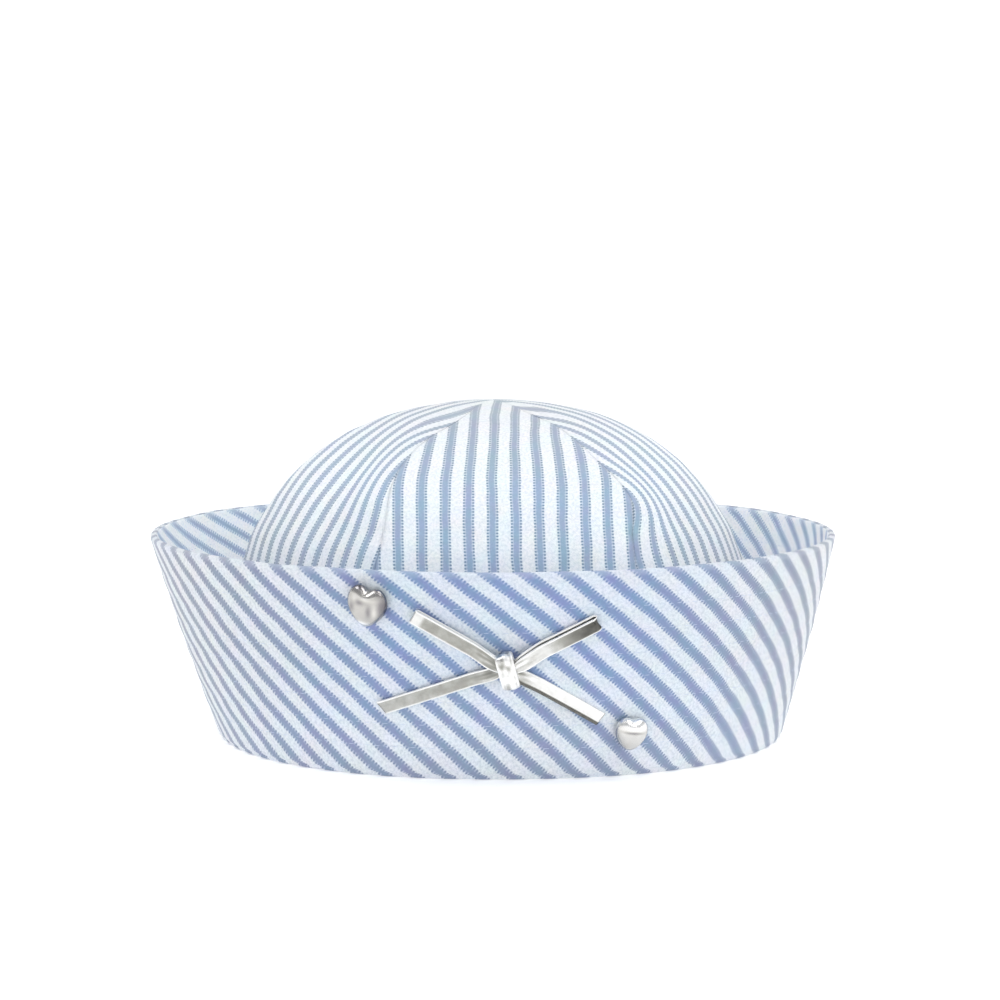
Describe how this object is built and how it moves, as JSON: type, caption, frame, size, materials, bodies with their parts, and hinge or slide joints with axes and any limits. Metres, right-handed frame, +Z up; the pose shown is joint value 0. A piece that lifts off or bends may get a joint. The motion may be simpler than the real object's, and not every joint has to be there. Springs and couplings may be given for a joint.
{
  "type": "sailor cap",
  "caption": "Round striped cotton sailor cap with a domed gored crown, a tall turned-up brim, and a silver strap bow and heart charms sewn on the front.",
  "frame": {"origin": "on the floor, under the centre of the brim's rim", "axes": "+Z up, -Y to the cap's front, where the bow is, +X to the right of a viewer who faces the front"},
  "size_m": [0.2304, 0.2396, 0.1116],
  "materials": {
    "crown_cotton": "matt woven cotton with narrow blue ticking stripes",
    "brim_cotton": "matt woven cotton with slanting blue ticking stripes, row-stitched",
    "silver_strap": "mirror silver foil on a narrow flat strap, softly creased",
    "silver_charm": "polished silver plating"
  },
  "bodies": {
    "root": {"crown_panel_front": "crown_cotton", "crown_panel_front_right": "crown_cotton", "crown_panel_back_right": "crown_cotton", "crown_panel_back": "crown_cotton", "crown_panel_back_left": "crown_cotton", "crown_panel_front_left": "crown_cotton", "brim": "brim_cotton", "bow_loops": "silver_strap", "bow_tails": "silver_strap", "bow_knot": "silver_strap", "heart_left": "silver_charm", "heart_right": "silver_charm"}
  },
  "joints": []
}
